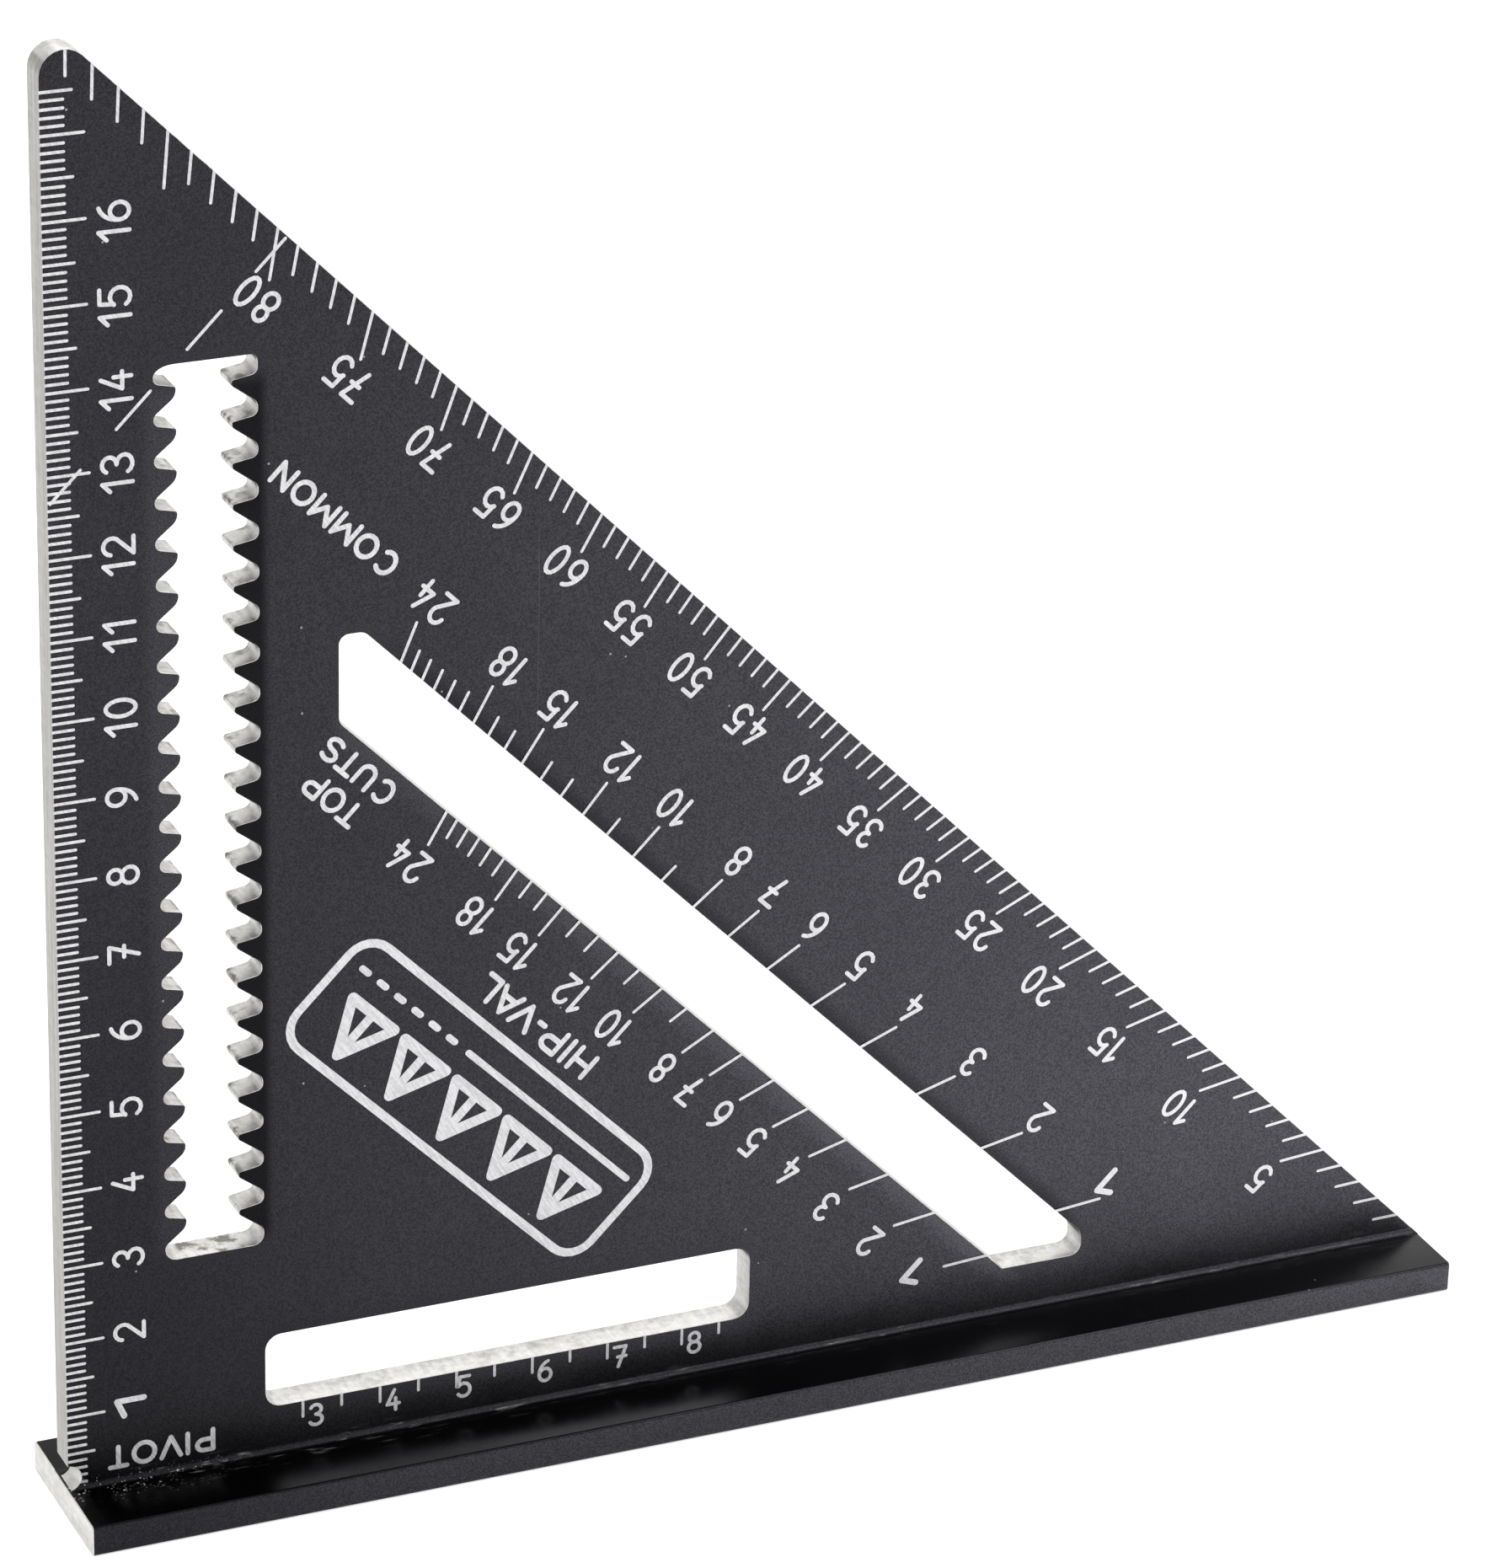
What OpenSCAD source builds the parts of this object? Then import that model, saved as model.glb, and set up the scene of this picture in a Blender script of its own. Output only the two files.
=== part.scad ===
// Metric rafter square: a triangular blade standing on a T-shaped fence, with engraved scales.
// Millimetres. X runs along the fence, Y through the blade, Z up from the underside of the fence.
// The origin is the middle of the fence's underside.

/* [Body] */
// Length of the fence, at whose far end the hypotenuse starts
fence_length = 183.2; // [120:0.1:320]
// How much higher than the fence is long the hypotenuse would meet the upright edge
hypotenuse_rise = 0.75; // [0:0.05:2]
// Thickness of the blade
blade_thickness = 4.0; // [3:0.1:6]
// Thickness of the fence
fence_thickness = 4.0; // [3:0.1:6]
// Width of the fence across both flanges
fence_width = 22.2; // [18:0.1:32]
// Rounding of the fence's long edges
fence_edge_radius = 0.4; // [0.3:0.1:1.5]
// Fillet between the fence and each face of the blade
root_fillet = 0.8; // [0.5:0.1:2]
// Rounding of the blade's upper tip
tip_radius = 3.0; // [1:0.1:5]
// Radius of the pivot notch
notch_radius = 1.7; // [1:0.1:3]

/* [Toothed slot] */
// Left wall of the toothed slot
tooth_slot_left = 12.75; // [10:0.05:16]
// Right wall of the toothed slot
tooth_slot_right = 25.0; // [20:0.05:30]
// Tips of the left teeth
left_tip = 15.4; // [14:0.05:17]
// Tips of the right teeth
right_tip = 21.9; // [20:0.05:24]
// Lower end of the toothed slot
tooth_slot_bottom = 28.68; // [20:0.01:40]
// Upper end of the toothed slot
tooth_slot_top = 141.56; // [100:0.01:145]
// Height of the first valley between the teeth
first_valley = 30.15; // [25:0.01:40]
// Distance from one tooth to the next
tooth_pitch = 5; // [2.5:0.5:10]
// Number of valleys on each side
valleys = 23; // [10:1:23]

/* [Scribing slot] */
// Left end of the scribing slot
scribe_slot_left = 25.14; // [20:0.01:30]
// Right end of the scribing slot
scribe_slot_right = 88.5; // [60:0.1:100]
// Lower edge of the scribing slot
scribe_slot_bottom = 6.28; // [5:0.01:8]
// Upper edge of the scribing slot
scribe_slot_top = 16.02; // [12:0.01:20]
// Corner radius of the scribing slot
scribe_slot_radius = 2.0; // [1:0.1:3]

/* [Diagonal slot] */
// Sum of the two coordinates along the upper edge of the diagonal slot
diagonal_upper = 143.62; // [138:0.01:146]
// Sum of the two coordinates along the lower edge of the diagonal slot
diagonal_lower = 129.65; // [124:0.01:134]
// Left end of the diagonal slot
diagonal_left = 34.75; // [33:0.05:40]
// Lower end of the diagonal slot
diagonal_bottom = 6.2; // [5:0.1:10]

/* [Engraving] */
// Thickness of the light marks on the blade's front face
mark_thickness = 0.04; // [0.02:0.01:0.1]
// Width of the scale lines
line_width = 0.36; // [0.25:0.01:0.5]

/* [Hidden] */
$fn = 48;
notch_centre = [0, notch_radius - 0.05];
// The rise steps that carry a number on the two rafter scales
numbered_rises = [1, 2, 3, 4, 5, 6, 7, 8, 10, 12, 15, 18, 24];

// ---- Points and outlines ----------------------------------------------------------------

function unit(v) = v / norm(v);
function turned(v) = [-v[1], v[0]];
function reversed(list) = [for (i = [len(list) - 1:-1:0]) list[i]];

// An elliptical arc about c, from angle a to angle b, with both ends.
function oval(c, rx, ry, a, b, steps) =
    [for (i = [0:steps]) let (t = a + (b - a) * i / steps) [c[0] + rx * cos(t), c[1] + ry * sin(t)]];

// The arc that rounds corner q between its neighbours p and s.
function corner(p, q, s, r, steps) =
    let (a = unit(p - q),
         b = unit(s - q),
         half = acos(a * b) / 2,
         c = q + unit(a + b) * r / sin(half),
         from = q + a * r / tan(half) - c,
         side = cross(q - p, s - q) > 0 ? 1 : -1,
         start = atan2(from[1], from[0]))
    oval(c, r, r, start, start + side * (180 - 2 * half), steps);

// A closed outline whose corners [x, y, radius] are rounded, or sharp where the radius is 0.
function rounded(corners, steps = 6) =
    [for (i = [0:len(corners) - 1])
        let (n = len(corners),
             p = corners[(i + n - 1) % n],
             q = corners[i],
             s = corners[(i + 1) % n],
             at = [q[0], q[1]],
             points = q[2] == 0 ? [at]
                    : corner([p[0], p[1]], at, [s[0], s[1]], q[2], steps))
        for (point = points) point];

// The direction of a path at point i, and how much wider its offset is there.
function heading(path, i, closed) =
    let (n = len(path),
         before = i > 0 ? path[i] - path[i - 1] : closed ? path[0] - path[n - 1] : path[1] - path[0],
         after = i < n - 1 ? path[i + 1] - path[i] : closed ? path[0] - path[n - 1] : before,
         a = unit(before),
         b = unit(after))
    unit(a + b) / max(0.5, sqrt((1 + a * b) / 2));

function beside(path, distance, closed) =
    [for (i = [0:len(path) - 1]) path[i] + distance * turned(heading(path, i, closed))];

function round_cap(at, direction, r) =
    let (a = atan2(direction[1], direction[0])) oval(at, r, r, a + 90 - 30, a - 90 + 30, 4);

// The outline of a pen stroke with round ends along an open path.
function pen_stroke(path, width) =
    let (last = len(path) - 1,
         left = beside(path, width / 2, false),
         right = beside(path, -width / 2, false))
    concat(left, round_cap(path[last], path[last] - path[last - 1], width / 2),
           reversed(right), round_cap(path[0], path[0] - path[1], width / 2));

module closed_stroke(path, width) {
    difference() {
        polygon(beside(path, -width / 2, true));
        polygon(beside(path, width / 2, true));
    }
}

// ---- Lettering: each sign is a list of [closed, path] on a unit square --------------------

function loop(c, rx, ry) =
    [for (i = [0:17]) [c[0] + rx * cos(20 * i), c[1] + ry * sin(20 * i)]];
function flipped(path) = [for (p = path) [1 - p[0], 1 - p[1]]];
six_tail = oval([0.95, 0.33], 0.95, 0.67, 180, 102, 6);

function sign_strokes(c) =
    c == "0" || c == "O" ? [[true, loop([0.5, 0.5], 0.5, 0.5)]] :
    c == "1" ? [[false, [[0, 0.74], [1, 1]]], [false, [[1, 1], [1, 0]]]] :
    c == "2" ? [[false, concat(oval([0.5, 0.71], 0.5, 0.29, 170, -30, 9), [[0, 0]])],
                [false, [[0, 0], [1, 0]]]] :
    c == "3" ? [[false, oval([0.47, 0.76], 0.45, 0.24, 155, -90, 10)],
                [false, oval([0.47, 0.26], 0.53, 0.26, 90, -155, 10)]] :
    c == "4" ? [[false, [[0.6, 1], [0, 0.3]]], [false, [[0, 0.3], [1, 0.3]]],
                [false, [[0.7, 0.58], [0.7, 0]]]] :
    c == "5" ? [[false, [[0.94, 1], [0.12, 1]]], [false, [[0.12, 1], [0.06, 0.54]]],
                [false, oval([0.45, 0.33], 0.55, 0.33, 142, -145, 11)]] :
    c == "6" ? [[true, loop([0.5, 0.31], 0.5, 0.31)], [false, six_tail]] :
    c == "7" ? [[false, [[0, 1], [1, 1]]], [false, [[1, 1], [0.36, 0]]],
                [false, [[0.3, 0.5], [1, 0.5]]]] :
    c == "8" ? [[true, loop([0.5, 0.76], 0.43, 0.24)], [true, loop([0.5, 0.27], 0.5, 0.27)]] :
    c == "9" ? [[true, loop([0.5, 0.69], 0.5, 0.31)], [false, flipped(six_tail)]] :
    c == "A" ? [[false, [[0, 0], [0.5, 1]]], [false, [[0.5, 1], [1, 0]]],
                [false, [[0.2, 0.32], [0.8, 0.32]]]] :
    c == "C" ? [[false, oval([0.5, 0.5], 0.5, 0.5, 50, 310, 14)]] :
    c == "H" ? [[false, [[0, 0], [0, 1]]], [false, [[1, 0], [1, 1]]],
                [false, [[0, 0.52], [1, 0.52]]]] :
    c == "I" ? [[false, [[0, 0], [0, 1]]]] :
    c == "L" ? [[false, [[0, 1], [0, 0]]], [false, [[0, 0], [1, 0]]]] :
    c == "M" ? [[false, [[0, 0], [0, 1]]], [false, [[0, 1], [0.5, 0.3]]],
                [false, [[0.5, 0.3], [1, 1]]], [false, [[1, 1], [1, 0]]]] :
    c == "N" ? [[false, [[0, 0], [0, 1]]], [false, [[0, 1], [1, 0]]], [false, [[1, 0], [1, 1]]]] :
    c == "P" ? [[false, [[0, 0], [0, 1]]],
                [false, concat([[0, 1]], oval([0.6, 0.725], 0.4, 0.275, 90, -90, 8), [[0, 0.45]])]] :
    c == "S" ? [[false, concat(oval([0.5, 0.75], 0.5, 0.25, 35, 270, 9),
                               oval([0.5, 0.25], 0.5, 0.25, 70, -145, 8))]] :
    c == "T" ? [[false, [[0, 1], [1, 1]]], [false, [[0.5, 1], [0.5, 0]]]] :
    c == "U" ? [[false, concat([[0, 1]], oval([0.5, 0.35], 0.5, 0.35, 180, 360, 9), [[1, 1]])]] :
    c == "V" ? [[false, [[0, 1], [0.5, 0]]], [false, [[0.5, 0], [1, 1]]]] :
    [[false, [[0, 0.3], [1, 0.3]]]];

// One sign drawn between left and right and between low and high, measured over the stroke.
module sign_shape(c, left, right, low, high, width) {
    w = max(0, right - left - width);
    h = high - low - width;
    for (stroke = sign_strokes(c)) {
        path = [for (p = stroke[1]) [left + width / 2 + w * p[0], low + width / 2 + h * p[1]]];
        if (stroke[0]) {
            closed_stroke(path, width);
        } else {
            polygon(pen_stroke(path, width));
        }
    }
}

// A word given as [sign, left, right] entries.
module word_shape(signs, low, high, width) {
    for (s = signs) {
        mark() sign_shape(s[0], s[1], s[2], low, high, width);
    }
}

function sign_width(c, digit) = c == "1" ? digit * 0.58 : digit;

// A number of one or two digits, centred on the origin. A 1 on its own is cut wider and bolder.
module number_shape(value, plain_digit, height, gap, plain_width) {
    alone = value == 1;
    digit = alone ? plain_digit * 1.9 : plain_digit;
    width = alone ? plain_width * 1.5 : plain_width;
    label = str(value);
    first = sign_width(label[0], digit);
    second = len(label) > 1 ? sign_width(label[1], digit) : 0;
    total = first + (len(label) > 1 ? gap + second : 0);
    mark() sign_shape(label[0], -total / 2, first - total / 2, -height / 2, height / 2, width);
    if (len(label) > 1) {
        mark() sign_shape(label[1], total / 2 - second, total / 2, -height / 2, height / 2, width);
    }
}

// ---- Placing engraved marks -----------------------------------------------------------------

// Turns one flat shape of a mark into its solid, on the plane z = 0.
module mark() {
    linear_extrude(height = mark_thickness) children();
}

// Lays solids drawn on the plane z = 0 on the blade's front face.
module on_face() {
    translate([-fence_length / 2, -blade_thickness / 2, fence_thickness])
        rotate([90, 0, 0])
            children();
}

// A line from an edge inwards. The two corners on the edge lie on it, and the other end is round.
module line_shape(start_a, start_b, end, direction) {
    polygon(concat([start_a], round_cap_at(end, direction, line_width / 2), [start_b]));
}

function round_cap_at(end, direction, r) =
    let (a = atan2(direction[1], direction[0])) oval(end, r, r, a + 90, a - 90, 4);

// A line along a ray from the pivot, starting on the edge x + z = sum and running towards
// the outside (side 1) or the pivot (side -1), as deep as given square to that edge.
module ray_line(angle, sum, depth, side) {
    ray = [cos(angle), sin(angle)];
    normal = turned(ray) * line_width / 2;
    slope = ray[0] + ray[1];
    reach = sum / slope;
    end = (reach + side * (depth * sqrt(2) / slope - line_width / 2)) * ray;
    left = normal + ray * (sum - (normal[0] + normal[1])) / slope;
    right = -normal + ray * (sum + (normal[0] + normal[1])) / slope;
    line_shape(side > 0 ? left : right, side > 0 ? right : left, end, side * ray);
}

// A line of the degree scale, from the hypotenuse to where it is depth inside the 45 degree line.
module degree_line(angle, depth) {
    across = cos(angle) + sin(angle);
    sum = across / (cos(angle) / fence_length + sin(angle) / (fence_length + hypotenuse_rise));
    ray_line(angle, sum, depth + (sum - fence_length) / sqrt(2), -1);
}

// The middle of a number beside a ray line: the point of the ray that is end_depth from the
// edge, moved square to the edge until it is depth from it.
function ray_number_at(angle, sum, end_depth, depth, side) =
    let (ray = [cos(angle), sin(angle)],
         end = ray * (sum + side * end_depth * sqrt(2)) / (ray[0] + ray[1]))
    end + side * (depth - end_depth) * [sqrt(0.5), sqrt(0.5)];

// The nudge is measured along the line of reading and up the digits.
module ray_number(value, angle, sum, end_depth, depth, side, nudge) {
    at = ray_number_at(angle, sum, end_depth, depth, side);
    translate([at[0], at[1], 0])
        rotate([0, 0, 135])
            translate([nudge[0], nudge[1], 0])
                number_shape(value, 2.35, 4.2, 0.72, 0.53);
}

// ---- Blade and fence ---------------------------------------------------------------------

function outline() =
    rounded([[0, 0, 0], [fence_length, 0, 0], [0, fence_length + hypotenuse_rise, tip_radius]], 8);

// The left wall climbs from valley to valley, and each tooth is a slope below and a flatter top.
function left_teeth() =
    [for (k = [0:valleys - 2])
        let (z = first_valley + k * tooth_pitch)
        each [[tooth_slot_left, z + 0.45, 0.95], [left_tip, z + 2.6, 1.6], [left_tip, z + 3.75, 0.4],
              [tooth_slot_left, z + 4.35, 0.75]]];

function right_teeth() =
    [for (k = [valleys - 2:-1:0])
        let (z = first_valley + k * tooth_pitch)
        each [[tooth_slot_right, z + 4.15, 0.8], [right_tip, z + 3.63, 0.35],
              [right_tip, z + 2.95, 0.6], [tooth_slot_right, z + 0.62, 1.1]]];

// The upper left corner of the toothed slot is a quarter of an oval, wider than high.
function toothed_slot_corner() =
    [for (p = oval([tooth_slot_left + 2.4, tooth_slot_top - 1.3], 2.4, 1.3, 180, 90, 6)) [p[0], p[1], 0]];

function toothed_slot() =
    rounded(reversed(concat(
        [[tooth_slot_left, tooth_slot_bottom, 1.4]],
        left_teeth(),
        toothed_slot_corner(),
        [[tooth_slot_right, tooth_slot_top, 0.9]],
        right_teeth(),
        [[tooth_slot_right, tooth_slot_bottom, 1.3]])), 4);

function scribe_slot() =
    rounded([[scribe_slot_left, scribe_slot_bottom, scribe_slot_radius],
             [scribe_slot_right, scribe_slot_bottom, scribe_slot_radius],
             [scribe_slot_right, scribe_slot_top, scribe_slot_radius],
             [scribe_slot_left, scribe_slot_top, scribe_slot_radius]]);

function diagonal_slot() =
    rounded([[diagonal_lower - diagonal_bottom, diagonal_bottom, 0.5],
             [134.4, diagonal_bottom, 1.5],
             [134.35, diagonal_upper - 134.35, 2.4],
             [diagonal_upper - 105.8, 105.8, 1.6],
             [diagonal_left, 105.8, 1.2],
             [diagonal_left, diagonal_lower - diagonal_left, 1.6]]);

module blade() {
    color([0.24, 0.24, 0.26])
        translate([-fence_length / 2, blade_thickness / 2, fence_thickness])
            rotate([90, 0, 0])
                linear_extrude(height = blade_thickness)
                    difference() {
                        polygon(outline());
                        polygon(toothed_slot());
                        polygon(scribe_slot());
                        polygon(diagonal_slot());
                        translate(notch_centre) circle(r = notch_radius);
                    }
}

module fence() {
    half = fence_width / 2;
    face = blade_thickness / 2;
    top = fence_thickness;
    r = fence_edge_radius;
    profile = concat(
        rounded([[-half, top, r], [-half, 0, r], [half, 0, r], [half, top, r]], 5),
        reversed(oval([face + root_fillet, top + root_fillet], root_fillet, root_fillet, 180, 270, 5)),
        [[face, top], [-face, top]],
        reversed(oval([-face - root_fillet, top + root_fillet], root_fillet, root_fillet, 270, 360, 5)));
    color([0.2, 0.2, 0.21])
        difference() {
            translate([-fence_length / 2, 0, 0])
                rotate([90, 0, 90])
                    linear_extrude(height = fence_length)
                        polygon(profile);
            translate([-fence_length / 2, face + 1.5, notch_centre[1] + top])
                rotate([90, 0, 0])
                    cylinder(r = notch_radius, h = blade_thickness + 3);
            translate([-fence_length / 2, face + 1.5, top])
                rotate([90, 0, 0])
                    linear_extrude(height = blade_thickness + 3)
                        polygon([[fence_length, 0], [fence_length + 2, 0],
                                 [fence_length + 2, 4], [fence_length - 4, 4]]);
        }
}

// ---- Upright edge: millimetres ------------------------------------------------------------

module edge_line(z) {
    lean = 0.45 * z / 175;
    length = (z % 10 == 0 ? 4.85 : z % 5 == 0 ? 3.5 : 2.5) + lean;
    line_shape([0, z + line_width / 2], [0, z - line_width / 2], [length - line_width / 2, z], [1, 0]);
}

module edge_scale_line_set() {
    on_face() {
        for (z = [1:3]) {
            mark()
                difference() {
                    edge_line(z);
                    translate(notch_centre) circle(r = notch_radius);
                }
        }
        for (z = [4:175]) {
            mark() edge_line(z);
        }
    }
}

module edge_scale_number_set() {
    on_face()
        for (n = [1:16]) {
            translate([7.95 + 0.45 * n / 17.5, 10 * n + (n == 1 ? -0.05 : 0.35 - 0.065 * n), 0])
                rotate([0, 0, 90])
                    number_shape(n, 2.55, 4.1, 0.8, 0.5);
        }
}

module edge_scale_lines() color([0.84, 0.84, 0.84]) edge_scale_line_set();
module edge_scale_numbers() color([0.84, 0.84, 0.84]) edge_scale_number_set();

// ---- Hypotenuse: degrees ------------------------------------------------------------------

module degree_scale_line_set() {
    on_face() {
        for (a = [1:88]) {
            mark() degree_line(a, a % 5 == 0 ? 4.75 : 2.6);
        }
        mark()
            intersection() {
                degree_line(89, 2.6);
                polygon(outline());
            }
    }
}

function degree_nudge(a) = [a <= 10 ? 0.6 : a < 70 ? 0.25 : -0.3, max(-0.15, 0.85 - 0.021 * a)];

module degree_scale_number_set() {
    on_face()
        for (a = [5:5:80]) {
            ray_number(a, a, fence_length, 4.75, 7.3, -1, degree_nudge(a));
        }
}

module degree_scale_lines() color([0.84, 0.84, 0.84]) degree_scale_line_set();
module degree_scale_numbers() color([0.84, 0.84, 0.84]) degree_scale_number_set();

// ---- Diagonal slot: rafter scales ------------------------------------------------------------

// Lines for rises of 1 to 24 over a run, on one edge of the diagonal slot.
module rafter_line_set(sum, run, long, side) {
    on_face()
        for (rise = [1:24]) {
            numbered = len(search(rise, numbered_rises)) > 0;
            mark() ray_line(atan(rise / run), sum, numbered ? long : 2.6, side);
        }
}

// Numbers of the rafter scales. Those of the first few rises stand a little off their lines.
function common_nudge(rise) = rise == 1 ? [0.4, 0.7] : rise <= 3 ? [-0.5, 0.15] : [0.1, 0];
function hip_val_nudge(rise) = [0.6 + 1.85 / (rise * rise), rise == 2 || rise == 3 ? 0.55 : 0];

module common_number_set() {
    on_face()
        for (rise = numbered_rises) {
            ray_number(rise, atan(rise / 10), diagonal_upper, 4.9, 7.75, 1, common_nudge(rise));
        }
}

module hip_val_number_set() {
    on_face()
        for (rise = numbered_rises) {
            ray_number(rise, atan(rise / (10 * sqrt(2))), diagonal_lower, 4.6, 7.45, -1, hip_val_nudge(rise));
        }
}

module common_scale_lines() color([0.84, 0.84, 0.84]) rafter_line_set(diagonal_upper, 10, 4.9, 1);
module common_scale_numbers() color([0.84, 0.84, 0.84]) common_number_set();
module hip_val_scale_lines()
    color([0.84, 0.84, 0.84]) rafter_line_set(diagonal_lower, 10 * sqrt(2), 4.6, -1);
module hip_val_scale_numbers() color([0.84, 0.84, 0.84]) hip_val_number_set();

// ---- Words ------------------------------------------------------------------------------

module common_letters() {
    on_face()
        translate([35, 119, 0])
            rotate([0, 0, 135])
                word_shape([["C", -8.7, -5.8], ["O", -5.5, -2.4], ["M", -2.05, 1.2], ["M", 1.65, 4.9],
                            ["O", 5.25, 8.4], ["N", 8.8, 11.5]], -2.0, 1.27, 0.6);
}

module hip_val_letters() {
    on_face()
        translate([60, 50, 0])
            rotate([0, 0, 135])
                word_shape([["H", -8.75, -5.5], ["I", -4.8, -4.05], ["P", -3.4, -0.2], ["-", 0, 1.6],
                            ["V", 1.65, 5.25], ["A", 4.8, 8.55], ["L", 8.7, 11.35]], -2.7, 1.0, 0.68);
}

module top_cuts_letters() {
    on_face()
        translate([35, 88, 0])
            rotate([0, 0, 135]) {
                word_shape([["T", -5.4, -2.75], ["O", -2.7, 0.4], ["P", 0.7, 3.3]], 1.1, 4.37, 0.58);
                word_shape([["C", -6.9, -4.0], ["U", -3.6, -1.0], ["T", -0.7, 1.95], ["S", 2.1, 4.7]],
                           -3.4, -0.13, 0.58);
            }
}

module pivot_letters() {
    on_face()
        rotate([0, 0, 180])
            word_shape([["P", -18.6, -16.0], ["I", -15.4, -14.8], ["V", -14.5, -11.5],
                        ["O", -11.25, -8.0], ["T", -7.7, -5.0]], -5.1, -1.85, 0.6);
}

module common_label() color([0.84, 0.84, 0.84]) common_letters();
module hip_val_label() color([0.84, 0.84, 0.84]) hip_val_letters();
module top_cuts_label() color([0.84, 0.84, 0.84]) top_cuts_letters();
module pivot_label() color([0.84, 0.84, 0.84]) pivot_letters();

// ---- Scribing slot: centimetres ------------------------------------------------------------

module scribe_line_set() {
    on_face()
        for (n = [0:11]) {
            x = 29.8 + n * 4.973;
            length = n % 2 == 0 ? 2.28 : 1.68;
            mark()
                line_shape([x + line_width / 2, scribe_slot_bottom], [x - line_width / 2, scribe_slot_bottom],
                           [x, scribe_slot_bottom - length + line_width / 2], [0, -1]);
        }
}

module scribe_number_set() {
    on_face()
        for (n = [3:8]) {
            x = 29.8 + (n - 3) * 9.946 - (n == 5 ? 0.7 : 0);
            mark() sign_shape(str(n), x + 0.7, x + 2.7, 2.5, 5.7, 0.45);
        }
}

module scribe_scale_lines() color([0.84, 0.84, 0.84]) scribe_line_set();
module scribe_scale_numbers() color([0.84, 0.84, 0.84]) scribe_number_set();

// ---- Reference line and badge ----------------------------------------------------------------

// Four dashes at 45 degrees. They stop at the scale lines that they cross.
module reference_dashes() {
    on_face()
        for (x = [[28.4, 24.9], [20.75, 16.7], [12.3, 8.25], [3.95, 0.35]]) {
            mark()
                difference() {
                    polygon(pen_stroke([[x[0], x[0] + 126.5], [x[1], x[1] + 126.5]], 0.38));
                    for (z = [125:132]) edge_line(z);
                    degree_line(80, 4.75);
                }
        }
}

// The badge's own frame: its middle, read along the same slope as the words.
module on_badge() {
    on_face()
        translate([51.5, 43, 0])
            rotate([0, 0, 135])
                children();
}

module badge_ring() {
    on_badge()
        mark()
            difference() {
                polygon(rounded([[-27.2, -8.55, 4], [27.2, -8.55, 4], [27.2, 8.55, 4], [-27.2, 8.55, 4]]));
                polygon(rounded([[-26.1, -7.45, 2.9], [26.1, -7.45, 2.9], [26.1, 7.45, 2.9],
                                 [-26.1, 7.45, 2.9]]));
            }
}

module badge_rule() {
    on_badge() {
        mark() polygon(pen_stroke([[-24.4, -4.2], [4.9, -4.2]], 0.85));
        for (x = [7.4:3.1:23]) {
            mark() polygon(pen_stroke([[x, -4.2], [x + 1.1, -4.2]], 0.85));
        }
    }
}

// A row of plain roof trusses, each with two rafters, a tie beam and a post.
module badge_roofs() {
    on_badge()
        for (x = [-18.6:9.3:18.6]) {
            mark() {
                polygon(pen_stroke([[x - 3.7, -0.8], [x, 5.7]], 1.35));
                polygon(pen_stroke([[x, 5.7], [x + 3.7, -0.8]], 1.35));
                polygon(pen_stroke([[x - 3.7, -0.8], [x + 3.7, -0.8]], 1.35));
                polygon(pen_stroke([[x, 5.7], [x, -0.8]], 1.2));
            }
        }
}

module reference_line() color([0.84, 0.84, 0.84]) reference_dashes();
module badge_border() color([0.84, 0.84, 0.84]) badge_ring();
module badge_bar() color([0.84, 0.84, 0.84]) badge_rule();
module badge_roofline() color([0.84, 0.84, 0.84]) badge_roofs();

blade();
fence();
edge_scale_lines();
edge_scale_numbers();
degree_scale_lines();
degree_scale_numbers();
common_scale_lines();
common_scale_numbers();
common_label();
hip_val_scale_lines();
hip_val_scale_numbers();
hip_val_label();
top_cuts_label();
scribe_scale_lines();
scribe_scale_numbers();
pivot_label();
reference_line();
badge_border();
badge_bar();
badge_roofline();
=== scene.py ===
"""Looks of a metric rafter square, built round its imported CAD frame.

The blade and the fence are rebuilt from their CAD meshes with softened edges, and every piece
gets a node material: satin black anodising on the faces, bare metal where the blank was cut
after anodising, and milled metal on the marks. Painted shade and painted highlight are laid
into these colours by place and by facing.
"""

import logging
import math
from dataclasses import dataclass, field
from enum import IntEnum

import bmesh
import bpy
import numpy as np
from mathutils import Matrix, Vector
from mathutils.geometry import delaunay_2d_cdt


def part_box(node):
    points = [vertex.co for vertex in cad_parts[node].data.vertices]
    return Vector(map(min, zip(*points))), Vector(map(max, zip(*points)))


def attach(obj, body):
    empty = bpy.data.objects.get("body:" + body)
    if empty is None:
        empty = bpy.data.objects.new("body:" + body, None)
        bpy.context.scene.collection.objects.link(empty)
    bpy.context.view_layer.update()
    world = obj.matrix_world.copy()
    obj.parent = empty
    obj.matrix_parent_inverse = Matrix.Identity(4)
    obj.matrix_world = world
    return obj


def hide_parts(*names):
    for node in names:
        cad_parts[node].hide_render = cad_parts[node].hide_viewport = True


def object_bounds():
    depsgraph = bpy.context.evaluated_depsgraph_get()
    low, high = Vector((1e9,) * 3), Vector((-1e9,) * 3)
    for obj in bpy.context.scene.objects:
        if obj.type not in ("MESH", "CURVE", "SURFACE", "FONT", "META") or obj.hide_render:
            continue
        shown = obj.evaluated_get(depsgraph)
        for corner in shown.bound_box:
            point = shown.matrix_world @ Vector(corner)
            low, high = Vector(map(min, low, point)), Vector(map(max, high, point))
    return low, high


log = logging.getLogger("rafter_square")

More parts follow.
